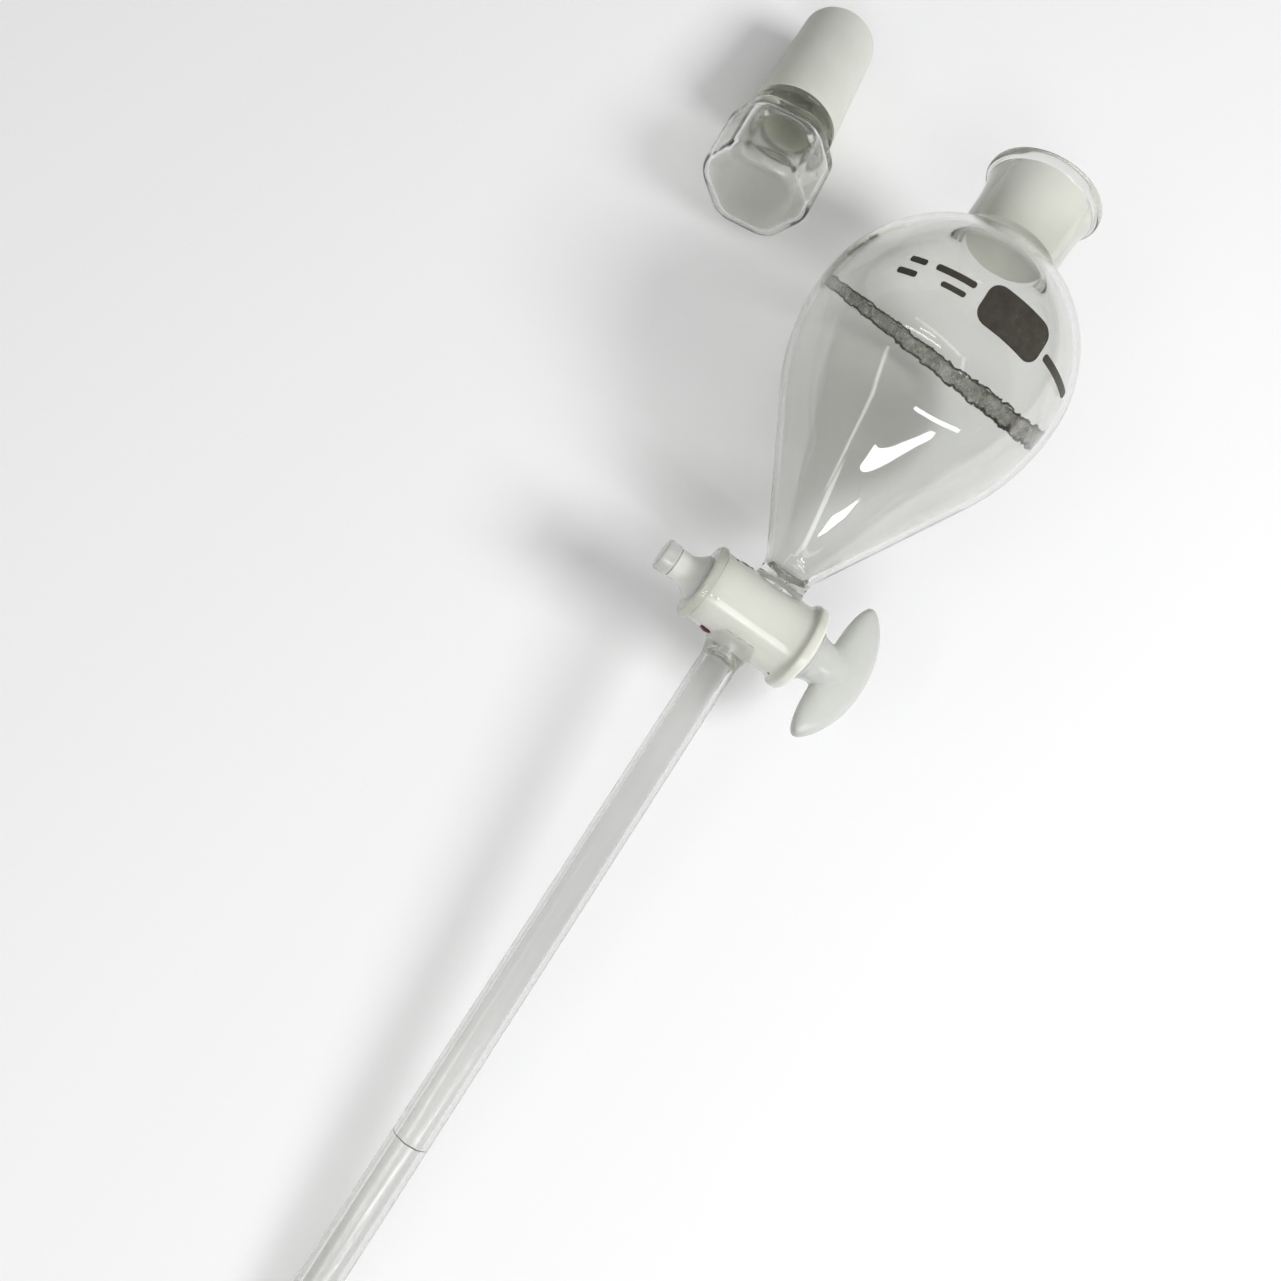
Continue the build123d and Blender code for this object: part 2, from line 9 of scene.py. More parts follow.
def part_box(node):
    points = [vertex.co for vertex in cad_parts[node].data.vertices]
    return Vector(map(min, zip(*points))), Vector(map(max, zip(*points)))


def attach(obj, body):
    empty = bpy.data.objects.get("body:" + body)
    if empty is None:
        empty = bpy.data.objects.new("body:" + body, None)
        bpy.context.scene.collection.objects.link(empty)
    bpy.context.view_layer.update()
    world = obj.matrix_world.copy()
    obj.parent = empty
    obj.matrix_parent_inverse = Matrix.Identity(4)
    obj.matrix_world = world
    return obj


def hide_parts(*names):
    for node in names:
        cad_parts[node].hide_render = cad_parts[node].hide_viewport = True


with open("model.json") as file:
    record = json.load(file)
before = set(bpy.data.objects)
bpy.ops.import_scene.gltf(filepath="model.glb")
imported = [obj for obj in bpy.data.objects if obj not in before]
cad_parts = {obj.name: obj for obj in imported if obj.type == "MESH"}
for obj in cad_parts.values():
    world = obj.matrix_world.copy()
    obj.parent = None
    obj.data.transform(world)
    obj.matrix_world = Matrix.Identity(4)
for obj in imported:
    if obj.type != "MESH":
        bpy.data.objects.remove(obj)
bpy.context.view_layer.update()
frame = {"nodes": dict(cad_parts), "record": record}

MM = 0.001

# ---- Sizes of the glass, in millimetres, as the CAD has them ------------------------------------
# Stations run along the funnel from the axis of the stopcock. Only SOCKET_FOOT_R, the soft edge
# at the foot of the socket, isn't in the CAD.
EQUATOR = 72.0
MOUTH = 121.0
STEM_END = 184.0
BULB_R = 31.5
WALL = 1.5
CONE_ANGLE = radians(29.1)
SHOULDER_R = 50.0
NECK_R = 12.2
NECK_FILLET = 4.0
LIP_R = 14.4
LIP_HEIGHT = 2.4
FLARE_LENGTH = 8.5
SOCKET_R = 11.0
SOCKET_FOOT_R = 5.5
TAPER = 0.05
PORT_OFFSET = 1.0
PORT_R = 1.0
INLET_R = 5.7
INLET_HEIGHT = 15.0
SWELL = 5.0
BARREL_ENDS = (-14.5, 13.5)
BARREL_RADII = (8.35, 9.15)
RIM_R = 10.5
RIM_WIDTH = 3.0
BEAD_R = 9.0
BEAD_WIDTH = 1.8
PLUG_MID_R = 6.3
PLUG_ENDS = (-15.6, 14.6)
SHANK_R = 3.4
BUTTON_R = 3.7
BUTTON_ENDS = (-24.8, -21.4)
HANDLE_NECK_R = 5.2
HANDLE_START = 19.4
HANDLE_CREST = 30.2
HANDLE_HALF_LENGTH = 17.0
HANDLE_TIP_R = 2.75
HANDLE_TIP_CENTRE = 22.4
HANDLE_THICKNESS = 7.6
STEM_R = 4.35
STEM_BORE_R = 3.0
OUTLET_R = 5.6
STOPPER_R = 11.5
STOPPER_LENGTH = 31.0
STOPPER_WALL = 1.6
STOPPER_DOME = 3.5
STOPPER_TURN = radians(6.0)
STOPPER_CLEARANCE = 0.05
WAIST_LENGTH = 5.0
WAIST_R = 9.0
WAIST_FOOT_R = 10.9
WAIST_BORE_R = 7.0
HEAD_FLATS = 27.0
HEAD_CORNER_R = 7.0
HEAD_WALL = 1.8
HEAD_LENGTH = 21.0
HEAD_TOP_R = 2.2
CAP_EDGE_R = 5.0

# ---- Axes of the funnel, from the record --------------------------------------------------------
joints = {j["name"]: j for j in frame["record"]["behaviour"]["joints"]}
mounts = {m["name"]: m for m in frame["record"]["mounts"]}
STOPCOCK = Vector(joints["stopcock_turn"]["pos_m"])
BARREL_WAY = Vector(joints["stopcock_turn"]["axis"]).normalized()
STEM_WAY = -Vector(mounts["stem_outlet"]["axis"]).normalized()
BULB_WAY = Vector(mounts["stopper_socket"]["axis"]).normalized()
UPWARD = STEM_WAY.cross(Vector((0, 1, 0))).normalized()
BULB_FOOT = STOPCOCK + BARREL_WAY * PORT_OFFSET * MM
STEM_FOOT = STOPCOCK - BARREL_WAY * PORT_OFFSET * MM
BULB_CENTRE = BULB_FOOT + BULB_WAY * EQUATOR * MM
# The stopper rests on a flat of its head, close to the waist, and on its rounded end.
STOPPER_TIP_R = STOPPER_R - TAPER * STOPPER_LENGTH
HEAD_REST = WAIST_LENGTH + HEAD_TOP_R
STOPPER_DIP = atan((HEAD_FLATS / 2 - STOPPER_TIP_R) / (STOPPER_LENGTH + HEAD_REST))
STOPPER_WAY = Vector((cos(STOPPER_DIP) * cos(STOPPER_TURN), cos(STOPPER_DIP) * sin(STOPPER_TURN),
                      -sin(STOPPER_DIP)))
ground_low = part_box("stopper_ground")[0]
shoulder_height = HEAD_FLATS / 2 * cos(STOPPER_DIP) - HEAD_REST * sin(STOPPER_DIP) + STOPPER_CLEARANCE
SHOULDER = Vector((ground_low[0] + STOPPER_R * MM * sqrt(1 - STOPPER_WAY.x ** 2),
                   ground_low[1] + STOPPER_R * MM * sqrt(1 - STOPPER_WAY.y ** 2),
                   shoulder_height * MM))


# ---- Outlines -----------------------------------------------------------------------------------
def arc(centre, radius, start, end, steps):
    """Points (r, z) on an arc; angles in radians from the outward direction."""
    turn = [start + (end - start) * i / steps for i in range(steps + 1)]
    return [(centre[0] + radius * cos(a), centre[1] + radius * sin(a)) for a in turn]


def bulb_outline(skin, top_r):
    """Outline of the bulb from the top of the cone's flank up to the radius top_r on the dome,
    skin mm inside the glass: a long arc, then the round dome."""
    long_arc = arc((BULB_R - SHOULDER_R, EQUATOR), SHOULDER_R - skin, -CONE_ANGLE, 0, 24)
    dome = arc((0, EQUATOR), BULB_R - skin, 0, acos(top_r / (BULB_R - skin)), 40)
    return long_arc + dome[1:]


def flank_r(z, skin=0.0):
    """Radius of the cone's straight flank at a station, skin mm inside the glass."""
    top_r = BULB_R - SHOULDER_R + (SHOULDER_R - skin) * cos(CONE_ANGLE)
    top_z = EQUATOR - (SHOULDER_R - skin) * sin(CONE_ANGLE)
    return top_r - (top_z - z) * tan(CONE_ANGLE)


def socket_r(z):
    """Radius of the ground socket at a station."""
    return SOCKET_R - TAPER * (MOUTH - z)


def inner_r(z):
    """Radius of the inside of the bulb at a station."""
    if z >= EQUATOR:
        return sqrt(max((BULB_R - WALL) ** 2 - (z - EQUATOR) ** 2, 0.01))
    low = EQUATOR - (SHOULDER_R - WALL) * sin(CONE_ANGLE)
    if z >= low:
        return BULB_R - SHOULDER_R + sqrt((SHOULDER_R - WALL) ** 2 - (EQUATOR - z) ** 2)
    return flank_r(z, WALL)


def barrel_r(x):
    """Outside radius of the barrel at a place along its own axis."""
    share = (x - BARREL_ENDS[0]) / (BARREL_ENDS[1] - BARREL_ENDS[0])
    return BARREL_RADII[0] + share * (BARREL_RADII[1] - BARREL_RADII[0])


def plug_r(x):
    """Radius of the ground plug at a place along the barrel's axis."""
    return PLUG_MID_R + TAPER * x


# ---- Mesh tools ---------------------------------------------------------------------------------
def basis(way, side):
    """Rotation whose Z is way and whose X is nearest to side."""
    x = (side - way * side.dot(way)).normalized()
    return Matrix((x, way.cross(x), way)).transposed()


def add_object(name, mesh, body, material_list):
    """Makes a piece that rides on a body, with the materials in material_list as its slots."""
    piece = bpy.data.objects.new(name, mesh)
    bpy.context.scene.collection.objects.link(piece)
    for material in material_list:
        mesh.materials.append(material)
    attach(piece, body)
    return piece


def turned(bm, outline, foot, way, side, segments, slots=None, closed=True, inward=False,
           shape=None):
    """Adds a turned surface to bm. outline is a list of (r, z) in mm, slots a material index for
    each of its spans. Points on the axis become a single vertex. shape(angle, k) may scale the
    radius of the k-th point of the outline."""
    turn = basis(way, side)
    rings = []
    for k, (r, z) in enumerate(outline):
        if r < 1e-6:
            rings.append([bm.verts.new(foot + turn @ Vector((0, 0, z * MM)))])
            continue
        ring = []
        for i in range(segments):
            a = 2 * pi * i / segments
            grown = r * (shape(a, k) if shape else 1.0)
            ring.append(bm.verts.new(foot + turn @ Vector((grown * cos(a), grown * sin(a), z)) * MM))
        rings.append(ring)
    made = []
    spans = len(rings) if closed else len(rings) - 1
    for k in range(spans):
        low, high = rings[k], rings[(k + 1) % len(rings)]
        for i in range(segments):
            j = (i + 1) % segments
            corners = [low[i % len(low)], low[j % len(low)], high[j % len(high)], high[i % len(high)]]
            corners = list(dict.fromkeys(corners))
            if len(corners) < 3:
                continue
            face = bm.faces.new(corners)
            face.smooth = True
            face.material_index = slots[k] if slots else 0
            made.append(face)
    bmesh.ops.recalc_face_normals(bm, faces=made)
    if inward:
        bmesh.ops.reverse_faces(bm, faces=made)


def to_mesh(bm, name, sharp_angle=None):
    """Finishes bm as a mesh; edges sharper than sharp_angle degrees stop the smooth shading."""
    if sharp_angle:
        for edge in bm.edges:
            if len(edge.link_faces) == 2 and edge.calc_face_angle(0) > radians(sharp_angle):
                edge.smooth = False
    mesh = bpy.data.meshes.new(name)
    bm.to_mesh(mesh)
    bm.free()
    return mesh


# ---- Materials ----------------------------------------------------------------------------------
GLASS_IOR = 1.47
GLASS_SHADOW = 0.80


def new_material(name):
    """An empty material and its node tree."""
    material = bpy.data.materials.new(name)
    material.use_nodes = True
    tree = material.node_tree
    tree.nodes.clear()
    return material, tree


def node(tree, kind, **values):
    """A new node whose inputs or settings take the values given by name."""
    made = tree.nodes.new(kind)
    for key, value in values.items():
        if key in made.inputs:
            made.inputs[key].default_value = value
        else:
            setattr(made, key, value)
    return made


def texture(tree, scale, detail, roughness, stretch=None):
    """Noise in the object's own coordinates. stretch = (x, y, z) scales the pattern."""
    place = node(tree, "ShaderNodeTexCoord")
    pattern = node(tree, "ShaderNodeTexNoise", Scale=scale, Detail=detail, Roughness=roughness)
    if stretch:
        mapping = node(tree, "ShaderNodeMapping")
        mapping.inputs["Scale"].default_value = stretch
        tree.links.new(place.outputs["Object"], mapping.inputs["Vector"])
        tree.links.new(mapping.outputs["Vector"], pattern.inputs["Vector"])
    else:
        tree.links.new(place.outputs["Object"], pattern.inputs["Vector"])
    return pattern


def ramp(tree, source, stops):
    """A colour ramp driven by source; stops is a list of (position, colour)."""
    made = node(tree, "ShaderNodeValToRGB")
    made.color_ramp.elements[0].position = stops[0][0]
    made.color_ramp.elements[0].color = stops[0][1]
    made.color_ramp.elements[1].position = stops[-1][0]
    made.color_ramp.elements[1].color = stops[-1][1]
    for position, colour in stops[1:-1]:
        made.color_ramp.elements.new(position).color = colour
    tree.links.new(source, made.inputs["Fac"])
    return made


def grey(v):
    return (v, v, v, 1)


def clear_glass(name, tint, wave, film, stretch=(0.25, 1, 1), haze=0.0):
    """Blown glass: faint drawn-out waves in the surface, drying marks as rough as film, an even
    roughness of haze, and light that passes to what lies behind it."""
    material, tree = new_material(name)
    out = node(tree, "ShaderNodeOutputMaterial")
    glass = node(tree, "ShaderNodeBsdfPrincipled", IOR=GLASS_IOR)
    glass.inputs["Transmission Weight"].default_value = 1.0
    drift = texture(tree, 22.0, 3.0, 0.5)
    pale = tuple(min(c * 1.03, 1) for c in tint[:3]) + (1,)
    deep = tuple(c * 0.97 for c in tint[:3]) + (1,)
    shade = ramp(tree, drift.outputs["Fac"], [(0.35, deep), (0.65, pale)])
    tree.links.new(shade.outputs["Color"], glass.inputs["Base Color"])
    marks = texture(tree, 140.0, 6.0, 0.6)
    smears = ramp(tree, marks.outputs["Fac"], [(0.52, grey(haze)), (0.62, grey(haze + 0.015)),
                                               (0.80, grey(haze + film))])
    tree.links.new(smears.outputs["Color"], glass.inputs["Roughness"])
    waves = texture(tree, 60.0, 2.0, 0.45, stretch)
    bump = node(tree, "ShaderNodeBump", Strength=wave, Distance=0.001)
    tree.links.new(waves.outputs["Fac"], bump.inputs["Height"])
    tree.links.new(bump.outputs["Normal"], glass.inputs["Normal"])
    through = node(tree, "ShaderNodeBsdfTransparent")
    through.inputs["Color"].default_value = (GLASS_SHADOW, GLASS_SHADOW, GLASS_SHADOW * 0.99, 1)
    path = node(tree, "ShaderNodeLightPath")
    mix = node(tree, "ShaderNodeMixShader")
    tree.links.new(path.outputs["Is Shadow Ray"], mix.inputs["Fac"])
    tree.links.new(glass.outputs["BSDF"], mix.inputs[1])
    tree.links.new(through.outputs["BSDF"], mix.inputs[2])
    tree.links.new(mix.outputs["Shader"], out.inputs["Surface"])
    return material


def frosted_glass(name, colour, transmission, roughness, coat=0.0, milk=0.0, depth=0.003, grain=0.12):
    """Ground or milky glass: pale, evenly rough, with fine grain and slightly uneven grinding.
    milk is the share of light scattered inside, as far as depth metres."""
    material, tree = new_material(name)
    out = node(tree, "ShaderNodeOutputMaterial")
    body = node(tree, "ShaderNodeBsdfPrincipled", IOR=GLASS_IOR)
    body.inputs["Transmission Weight"].default_value = transmission
    body.inputs["Coat Weight"].default_value = coat
    body.inputs["Coat Roughness"].default_value = 0.015
    body.inputs["Subsurface Weight"].default_value = milk
    body.inputs["Subsurface Scale"].default_value = depth
    body.inputs["Specular IOR Level"].default_value = 0.12
    body.inputs["Subsurface Radius"].default_value = (1.0, 1.0, 0.85)
    cloud = texture(tree, 60.0, 5.0, 0.6)
    dark = tuple(c * 0.93 for c in colour[:3]) + (1,)
    shade = ramp(tree, cloud.outputs["Fac"], [(0.35, dark), (0.65, colour)])
    tree.links.new(shade.outputs["Color"], body.inputs["Base Color"])
    fine = texture(tree, 900.0, 3.0, 0.7) if grain else cloud
    low, high = max(roughness - 0.08, 0.02), roughness + 0.1
    rough = ramp(tree, fine.outputs["Fac"], [(0.3, grey(low)), (0.7, grey(high))])
    tree.links.new(rough.outputs["Color"], body.inputs["Roughness"])
    bump = node(tree, "ShaderNodeBump", Strength=grain, Distance=0.0001)
    tree.links.new(fine.outputs["Fac"], bump.inputs["Height"])
    tree.links.new(bump.outputs["Normal"], body.inputs["Normal"])
    tree.links.new(body.outputs["BSDF"], out.inputs["Surface"])
    return material


def speckled(name, stops, scale, roughness):
    """An opaque deposit or print whose colour and gloss vary with a fine speckle."""
    material, tree = new_material(name)
    out = node(tree, "ShaderNodeOutputMaterial")
    body = node(tree, "ShaderNodeBsdfPrincipled")
    speckle = texture(tree, scale, 5.0, 0.7)
    colour = ramp(tree, speckle.outputs["Fac"], stops)
    tree.links.new(colour.outputs["Color"], body.inputs["Base Color"])
    rough = ramp(tree, speckle.outputs["Fac"], [(0.3, grey(roughness)), (0.75, grey(roughness + 0.25))])
    tree.links.new(rough.outputs["Color"], body.inputs["Roughness"])
    bump = node(tree, "ShaderNodeBump", Strength=0.25, Distance=0.0001)
    tree.links.new(speckle.outputs["Fac"], bump.inputs["Height"])
    tree.links.new(bump.outputs["Normal"], body.inputs["Normal"])
    tree.links.new(body.outputs["BSDF"], out.inputs["Surface"])
    return material


def maths(tree, operation, first, second):
    """The output of a maths node; first and second are numbers or sockets."""
    made = node(tree, "ShaderNodeMath", operation=operation)
    for slot, value in ((0, first), (1, second)):
        if isinstance(value, (int, float)):
            made.inputs[slot].default_value = value
        else:
            tree.links.new(value, made.inputs[slot])
    return made.outputs["Value"]


def dark_band_material():
    """A dark band: ragged dark edges round a mottled grey middle, which is denser towards
    the handle side. The band's UV map holds how heavy the band is and the place across it."""
    material, tree = new_material("dark_band_surface")
    out = node(tree, "ShaderNodeOutputMaterial")
    body = node(tree, "ShaderNodeBsdfPrincipled", Roughness=0.75)
    speckle = texture(tree, 1100.0, 6.0, 0.7)
    clumps = texture(tree, 300.0, 5.0, 0.65)
    place = node(tree, "ShaderNodeUVMap", uv_map="band")
    split = node(tree, "ShaderNodeSeparateXYZ")
    tree.links.new(place.outputs["UV"], split.inputs["Vector"])
    handle_side, across = split.outputs["X"], split.outputs["Y"]
    wobble = maths(tree, "MULTIPLY", maths(tree, "SUBTRACT", clumps.outputs["Fac"], 0.5), 0.75)
    level = maths(tree, "ADD", across, wobble)
    inside = ramp(tree, level, [(0.0, grey(0.0)), (0.05, grey(0.0)), (0.08, grey(1.0)), (0.92, grey(1.0)),
                                (0.95, grey(0.0)), (1.0, grey(0.0))])
    edge = ramp(tree, level, [(0.0, grey(1.0)), (0.14, grey(1.0)), (0.21, grey(0.0)), (0.79, grey(0.0)),
                              (0.86, grey(1.0)), (1.0, grey(1.0))])
    grains = ramp(tree, speckle.outputs["Fac"], [(0.36, grey(0.45)), (0.55, grey(1.0))])
    base = maths(tree, "ADD", 0.62, maths(tree, "MULTIPLY", handle_side, 0.30))
    film = maths(tree, "MULTIPLY", base, grains.outputs["Color"])
    solid = maths(tree, "MAXIMUM", film, edge.outputs["Color"])
    cover = maths(tree, "MULTIPLY", solid, inside.outputs["Color"])
    middle_colours = [(0.36, (0.08, 0.08, 0.065, 1)), (0.48, (0.27, 0.27, 0.235, 1)),
                      (0.64, (0.50, 0.50, 0.45, 1))]
    edge_colours = [(0.35, (0.012, 0.010, 0.007, 1)), (0.54, (0.045, 0.040, 0.030, 1)),
                    (0.72, (0.20, 0.20, 0.16, 1))]
    pale = ramp(tree, clumps.outputs["Fac"], middle_colours)
    dark = ramp(tree, speckle.outputs["Fac"], edge_colours)
    colour = node(tree, "ShaderNodeMixRGB")
    tree.links.new(edge.outputs["Color"], colour.inputs["Fac"])
    tree.links.new(pale.outputs["Color"], colour.inputs["Color1"])
    tree.links.new(dark.outputs["Color"], colour.inputs["Color2"])
    tree.links.new(colour.outputs["Color"], body.inputs["Base Color"])
    through = node(tree, "ShaderNodeBsdfTransparent")
    mix = node(tree, "ShaderNodeMixShader")
    tree.links.new(cover, mix.inputs["Fac"])
    tree.links.new(through.outputs["BSDF"], mix.inputs[1])
    tree.links.new(body.outputs["BSDF"], mix.inputs[2])
    tree.links.new(mix.outputs["Shader"], out.inputs["Surface"])
    return material


BULB_GLASS = clear_glass("bulb_glass", (0.865, 0.87, 0.85, 1), wave=0.03, film=0.08)
STEM_GLASS = clear_glass("stem_glass", (0.85, 0.855, 0.84, 1), wave=0.0, film=0.05, haze=0.13)
MILKY_GLASS = frosted_glass("milky_glass", (0.80, 0.81, 0.775, 1), 0.55, 0.20, 0.6, milk=0.6, grain=0.0)
BEAD_GLASS = clear_glass("bead_glass", (0.90, 0.905, 0.87, 1), wave=0.1, film=0.2, stretch=(1, 1, 1))
STOPPER_GLASS = clear_glass("stopper_glass", (0.885, 0.89, 0.865, 1), wave=0.04, film=0.35,
                            stretch=(0.5, 1, 1), haze=0.10)
BARREL_GLASS = frosted_glass("barrel_frosted", (0.75, 0.755, 0.68, 1), 0.12, 0.45, 1.0, milk=0.5)
SHANK_FROST = frosted_glass("shank_frosted", (0.90, 0.905, 0.84, 1), 0.20, 0.35, 0.5, milk=1.0, depth=0.006)
STOPPER_GROUND = frosted_glass("stopper_frosted", (0.74, 0.76, 0.65, 1), 0.20, 0.6, milk=1.0, depth=0.008)
NECK_FROST = frosted_glass("neck_frosted", (0.79, 0.80, 0.73, 1), 0.35, 0.5, 0.5, milk=0.4)
ENAMEL = speckled("fired_enamel", [(0.3, (0.030, 0.026, 0.020, 1)), (0.62, (0.050, 0.044, 0.034, 1)),
                                   (0.8, (0.13, 0.12, 0.10, 1))], 420.0, 0.28)
RED_STAIN = speckled("red_stain", [(0.35, (0.030, 0.004, 0.003, 1)), (0.7, (0.14, 0.016, 0.010, 1))],
                     1500.0, 0.35)
# Near white: painted highlight, the glints of the bead at the barrel's small end put on small raised spots.
PAINTED_GLINT = speckled("painted_glint", [(0.35, (0.80, 0.80, 0.76, 1)), (0.7, (0.92, 0.92, 0.90, 1))],
                      1500.0, 0.3)
DARK_DIRT = speckled("dark_dirt", [(0.35, (0.03, 0.03, 0.025, 1)), (0.7, (0.16, 0.15, 0.12, 1))],
                     1500.0, 0.6)
DARK_BAND = dark_band_material()


# ---- Funnel body --------------------------------------------------------------------------------
def bulb_and_neck():
    """Inlet arm, cone, dome, neck and lip as one wall of glass, turned round the bulb's axis."""
    foot_z = 7.2
    lip_foot = MOUTH - LIP_HEIGHT
    lip_soft, top_soft, mouth_soft = 0.95, 1.2, 1.1
    ground_top, ground_foot = MOUTH - mouth_soft, 104.0
    outline = [(INLET_R + 1.7, foot_z), (INLET_R + 0.75, foot_z + 1.1), (INLET_R + 0.25, foot_z + 2.0)]
    outline += [(INLET_R, INLET_HEIGHT - SWELL)]
    swell_r = SWELL / sin(CONE_ANGLE)
    outline += arc((INLET_R + swell_r, INLET_HEIGHT - SWELL), swell_r, pi, pi - CONE_ANGLE, 8)[1:]
    outline += [(flank_r(z), z) for z in (18.0, 22.0, 27.0, 33.0, 39.0, 44.0)]
    neck_sum = BULB_R + NECK_FILLET
    fillet_z = EQUATOR + sqrt(neck_sum ** 2 - (NECK_R + NECK_FILLET) ** 2)
    outline += bulb_outline(0.0, (NECK_R + NECK_FILLET) * BULB_R / neck_sum)[:-1]
    fillet_from = pi + atan2(fillet_z - EQUATOR, NECK_R + NECK_FILLET)
    outline += arc((NECK_R + NECK_FILLET, fillet_z), NECK_FILLET, fillet_from, pi, 12)
    flare_start = lip_foot - FLARE_LENGTH
    outline += [(NECK_R, fillet_z + (flare_start - fillet_z) * k / 3) for k in (1, 2, 3)]
    flare = LIP_R - 1.0 - NECK_R
    outline += [(NECK_R + flare * (k / 6) ** 2, flare_start + FLARE_LENGTH * k / 6) for k in range(1, 7)]
    outline += arc((LIP_R - lip_soft, lip_foot + lip_soft), lip_soft, -pi / 2, 0, 6)[1:]
    outline += arc((LIP_R - top_soft, MOUTH - top_soft), top_soft, 0, pi / 2, 8)
    outline += arc((socket_r(MOUTH) + mouth_soft, ground_top), mouth_soft, pi / 2, pi, 8)
    mouth_end = len(outline) - 1
    # the ground socket, then a soft edge into the dome
    inner_sum = BULB_R - WALL + SOCKET_FOOT_R
    foot_r = socket_r(ground_foot) + SOCKET_FOOT_R
    edge_z = EQUATOR + sqrt(inner_sum ** 2 - foot_r ** 2)
    depth = ground_top - edge_z
    outline += [(socket_r(ground_top - depth * k / 8), ground_top - depth * k / 8) for k in range(1, 9)]
    socket_end = len(outline) - 1
    edge_to = pi + atan2(edge_z - EQUATOR, foot_r)
    outline += arc((foot_r, edge_z), SOCKET_FOOT_R, pi, edge_to, 8)[1:]
    inside = bulb_outline(WALL, foot_r * (BULB_R - WALL) / inner_sum)
    outline += list(reversed(inside))[1:]
    outline += [(flank_r(z, WALL), z) for z in (44.0, 39.0, 33.0, 27.0, 22.0, 18.0, 15.5)]
    outline += [(4.9, 14.4), (4.45, 13.4), (4.0, 12.4), (3.3, 11.5), (2.3, 10.8), (1.4, 10.2), (PORT_R, 9.6),
                (PORT_R, foot_z)]
    slots = [1 if mouth_end <= k < socket_end else 0 for k in range(len(outline))]
    bm = bmesh.new()
    turned(bm, outline, BULB_FOOT, BULB_WAY, BARREL_WAY, 192, slots)
    piece = add_object("bulb_and_neck", to_mesh(bm, "bulb_and_neck"), "funnel",
                       [BULB_GLASS, NECK_FROST])
    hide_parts("neck_lip", "neck_socket", "bulb_dome", "bulb_cone", "inlet_arm")


def stem():
    """Outlet arm and stem down to the bevel, turned round the stem's axis."""
    outline = [(OUTLET_R + 1.5, -6.6), (OUTLET_R + 0.6, -7.6), (OUTLET_R + 0.05, -8.8),
               (OUTLET_R - 0.5, -10.0), (STEM_R + 0.35, -11.2), (STEM_R + 0.08, -12.2), (STEM_R, -13.4)]
    stations = [20.0 + (STEM_END - 19.0) * k / 32 for k in range(33)]
    outline += [(STEM_R, -z) for z in stations]
    outline += [(STEM_BORE_R, -z) for z in reversed(stations)]
    outline += [(STEM_BORE_R, -13.0), (STEM_BORE_R - 0.25, -11.6), (2.0, -10.2), (PORT_R, -9.2),
                (PORT_R, -6.6)]
    bm = bmesh.new()
    turned(bm, outline, STEM_FOOT, STEM_WAY, BARREL_WAY, 96)
    # the bevel, longest on the side that lies on the bench
    longest = STEM_FOOT - STEM_WAY * STEM_END * MM - UPWARD * STEM_R * MM
    cut = (STEM_WAY - UPWARD).normalized()
    geometry = bm.verts[:] + bm.edges[:] + bm.faces[:]
    made = bmesh.ops.bisect_plane(bm, geom=geometry, plane_co=longest, plane_no=cut, clear_inner=True)
    rim = [g for g in made["geom_cut"] if isinstance(g, bmesh.types.BMEdge)]
    bmesh.ops.bridge_loops(bm, edges=rim)
    bmesh.ops.recalc_face_normals(bm, faces=bm.faces)
    piece = add_object("stem", to_mesh(bm, "stem", 50), "funnel", [STEM_GLASS])
    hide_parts("outlet_arm", "stem_tube", "stem_tip")


def barrel():
    """Stopcock barrel with its flared rim, turned round the barrel's axis without the ports, and
    the clear bead fused round its small end."""
    small, large = BARREL_ENDS
    rim_start = large - RIM_WIDTH
    bead_end = small + BEAD_WIDTH
    outline = [(barrel_r(small) - 0.5, small), (barrel_r(small), small + 0.5)]
    outline += [(barrel_r(x), x) for x in (-9.0, -5.0, 0.0, 5.0, rim_start - 1.2)]
    outline += [(barrel_r(rim_start) + 0.35, rim_start - 0.2)]
    outline += arc((RIM_R - 1.0, rim_start + 1.1), 1.0, -pi / 3, 0, 6)
    outline += arc((RIM_R - 0.9, large - 0.9), 0.9, 0, pi / 2, 6)
    gap = 0.05
    bore = PLUG_MID_R + gap
    outline += [(bore + TAPER * large, large), (bore, 0.0), (bore + TAPER * small, small)]
    bm = bmesh.new()
    turned(bm, outline, STOPCOCK, BARREL_WAY, STEM_WAY, 128)
    piece = add_object("barrel", to_mesh(bm, "barrel", 60), "funnel", [BARREL_GLASS])
    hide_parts("stopcock_barrel", "barrel_rim")
    ring = arc((BEAD_R - 0.85, small + 0.85), 0.85, -pi / 2, 0, 6)
    ring += arc((BEAD_R - 0.85, bead_end - 0.6), 0.85, 0, pi / 2, 6)
    ring += [(barrel_r(bead_end) + 0.03, bead_end), (barrel_r(small) - 0.45, small + 0.02)]
    bm = bmesh.new()
    turned(bm, ring, STOPCOCK, BARREL_WAY, STEM_WAY, 128)
    piece = add_object("barrel_bead_ring", to_mesh(bm, "barrel_bead_ring", 60), "funnel",
                       [BEAD_GLASS])
    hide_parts("barrel_bead")


